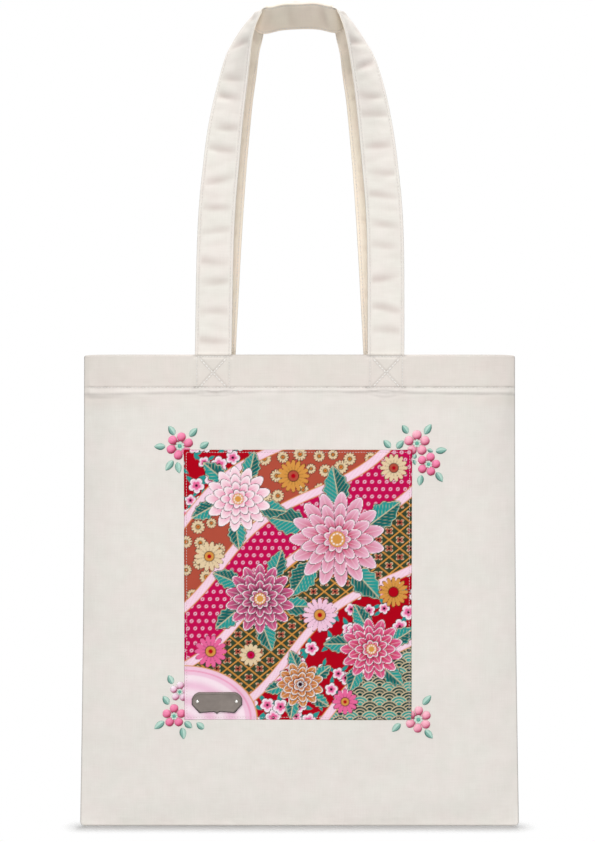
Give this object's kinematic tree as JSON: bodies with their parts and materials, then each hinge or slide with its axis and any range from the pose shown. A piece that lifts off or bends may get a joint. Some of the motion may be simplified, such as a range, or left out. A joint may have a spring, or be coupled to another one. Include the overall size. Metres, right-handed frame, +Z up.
{
  "type": "tote bag",
  "caption": "Flat canvas shoulder tote with a hemmed mouth, long strap handles, a printed applique patch, embroidered corners and a small bare metal label.",
  "frame": {"origin": "midway between the two handle crowns, where a shoulder or a hook carries the bag", "axes": "+X to the right of the front, +Y from the front to the back, +Z up; the patch faces -Y"},
  "size_m": [0.385, 0.0735, 0.7349],
  "materials": {
    "canvas": "matt plain-weave natural cotton canvas",
    "hem_canvas": "the same canvas, folded double",
    "strap_canvas": "canvas folded into a strap and sewn along both edges",
    "thread": "undyed sewing thread",
    "printed_cotton": "thin printed cotton in crimson, teal, coral and pale pink",
    "hot_pink_thread": "satin-stitched embroidery thread, slight sheen",
    "rose_thread": "satin-stitched embroidery thread, slight sheen",
    "pale_pink_thread": "satin-stitched embroidery thread, slight sheen",
    "leaf_thread": "satin-stitched embroidery thread, slight sheen",
    "centre_thread": "satin-stitched embroidery thread, slight sheen",
    "pewter": "bare pewter-coloured pressed metal, satin"
  },
  "bodies": {
    "back_wall": {"back_panel": "canvas", "back_hem": "hem_canvas", "back_hem_stitch": "thread", "back_handle_end_left": "strap_canvas", "back_handle_end_right": "strap_canvas", "bottom_seam": "canvas", "left_side_seam": "canvas", "right_side_seam": "canvas"},
    "front_wall": {"front_panel": "canvas", "front_hem": "hem_canvas", "front_hem_stitch": "thread", "front_handle_end_left": "strap_canvas", "front_handle_end_right": "strap_canvas", "print_patch": "printed_cotton", "patch_stitch": "thread", "flower_upper_left_1": "hot_pink_thread", "flower_upper_right_1": "rose_thread", "flower_upper_right_2": "hot_pink_thread", "flower_lower_left_1": "pale_pink_thread", "flower_lower_left_2": "hot_pink_thread", "flower_lower_right_1": "rose_thread", "flower_upper_left_1_centre": "centre_thread", "flower_upper_right_1_centre": "centre_thread", "flower_upper_right_2_centre": "centre_thread", "flower_lower_left_1_centre": "centre_thread", "flower_lower_left_2_centre": "centre_thread", "flower_lower_right_1_centre": "centre_thread", "leaf_upper_left_1": "leaf_thread", "leaf_upper_left_2": "leaf_thread", "leaf_upper_left_3": "leaf_thread", "leaf_upper_left_4": "leaf_thread", "leaf_upper_left_5": "leaf_thread", "leaf_upper_left_6": "leaf_thread", "leaf_upper_right_1": "leaf_thread", "leaf_upper_right_2": "leaf_thread", "leaf_upper_right_3": "leaf_thread", "leaf_upper_right_4": "leaf_thread", "leaf_upper_right_5": "leaf_thread", "leaf_upper_right_6": "leaf_thread", "leaf_upper_right_7": "leaf_thread", "leaf_lower_left_1": "leaf_thread", "leaf_lower_left_2": "leaf_thread", "leaf_lower_left_3": "leaf_thread", "leaf_lower_left_4": "leaf_thread", "leaf_lower_left_5": "leaf_thread", "leaf_lower_left_6": "leaf_thread", "leaf_lower_right_1": "leaf_thread", "leaf_lower_right_2": "leaf_thread", "leaf_lower_right_3": "leaf_thread", "label_plate": "pewter", "label_rivet_left": "pewter", "label_rivet_right": "pewter"},
    "front_loop": {"front_handle": "strap_canvas", "front_handle_inner_stitch": "thread", "front_handle_outer_stitch": "thread"},
    "back_loop": {"back_handle": "strap_canvas", "back_handle_inner_stitch": "thread", "back_handle_outer_stitch": "thread"}
  },
  "joints": [
    {"name": "mouth_open", "type": "hinge", "parent": "back_wall", "child": "front_wall", "pos_m": [0, 0, -0.71575], "axis": [1, 0, 0], "range_deg": [0, 8]},
    {"name": "front_handle_fold", "type": "hinge", "parent": "front_wall", "child": "front_loop", "pos_m": [0, -0.0158, -0.30259], "axis": [1, 0, 0], "range_deg": [0, 165]},
    {"name": "back_handle_fold", "type": "hinge", "parent": "back_wall", "child": "back_loop", "pos_m": [0, 0.0158, -0.30259], "axis": [-1, 0, 0], "range_deg": [0, 165]}
  ]
}
